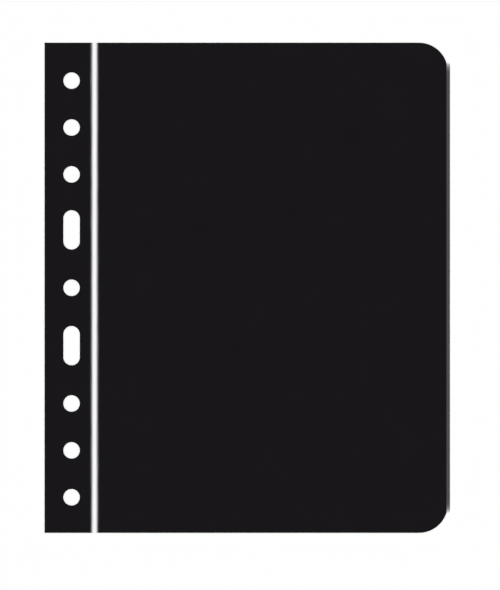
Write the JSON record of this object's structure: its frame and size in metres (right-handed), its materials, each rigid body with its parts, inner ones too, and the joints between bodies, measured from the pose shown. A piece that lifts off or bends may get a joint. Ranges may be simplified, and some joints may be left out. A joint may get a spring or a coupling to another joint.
{
  "type": "binder divider",
  "caption": "Thin black binder divider: a punched binding strip joined by a pale film hinge to a wide panel with rounded free corners and a narrow grey edge binding.",
  "frame": {"origin": "middle of the rear face of the whole page, on the surface that it lies on", "axes": "+X from the binding edge to the free edge, +Y up the page, +Z out of the front face"},
  "size_m": [0.21, 0.254, 0.0006],
  "materials": {
    "skin": "fine matte grain",
    "film": "milky satin film",
    "binding": "satin"
  },
  "bodies": {
    "binding_strip": {"strip_front_skin": "skin", "strip_core_film": "film", "strip_rear_skin": "skin"},
    "hinge_web": {"hinge_film": "film"},
    "panel": {"panel_front_skin": "skin", "panel_core_film": "film", "panel_rear_skin": "skin", "edge_binding": "binding"}
  },
  "joints": [
    {"name": "panel_fold", "type": "hinge", "parent": "hinge_web", "child": "panel", "pos_m": [-0.0778, 0, 0.0003], "axis": [0, -1, 0], "range_deg": [-90, 90]},
    {"name": "strip_fold", "type": "hinge", "parent": "hinge_web", "child": "binding_strip", "pos_m": [-0.0805, 0, 0.0003], "axis": [0, 1, 0], "range_deg": [-90, 90]}
  ],
  "couplings": [
    {"joint": "strip_fold", "follows": "panel_fold", "ratio": 1}
  ]
}
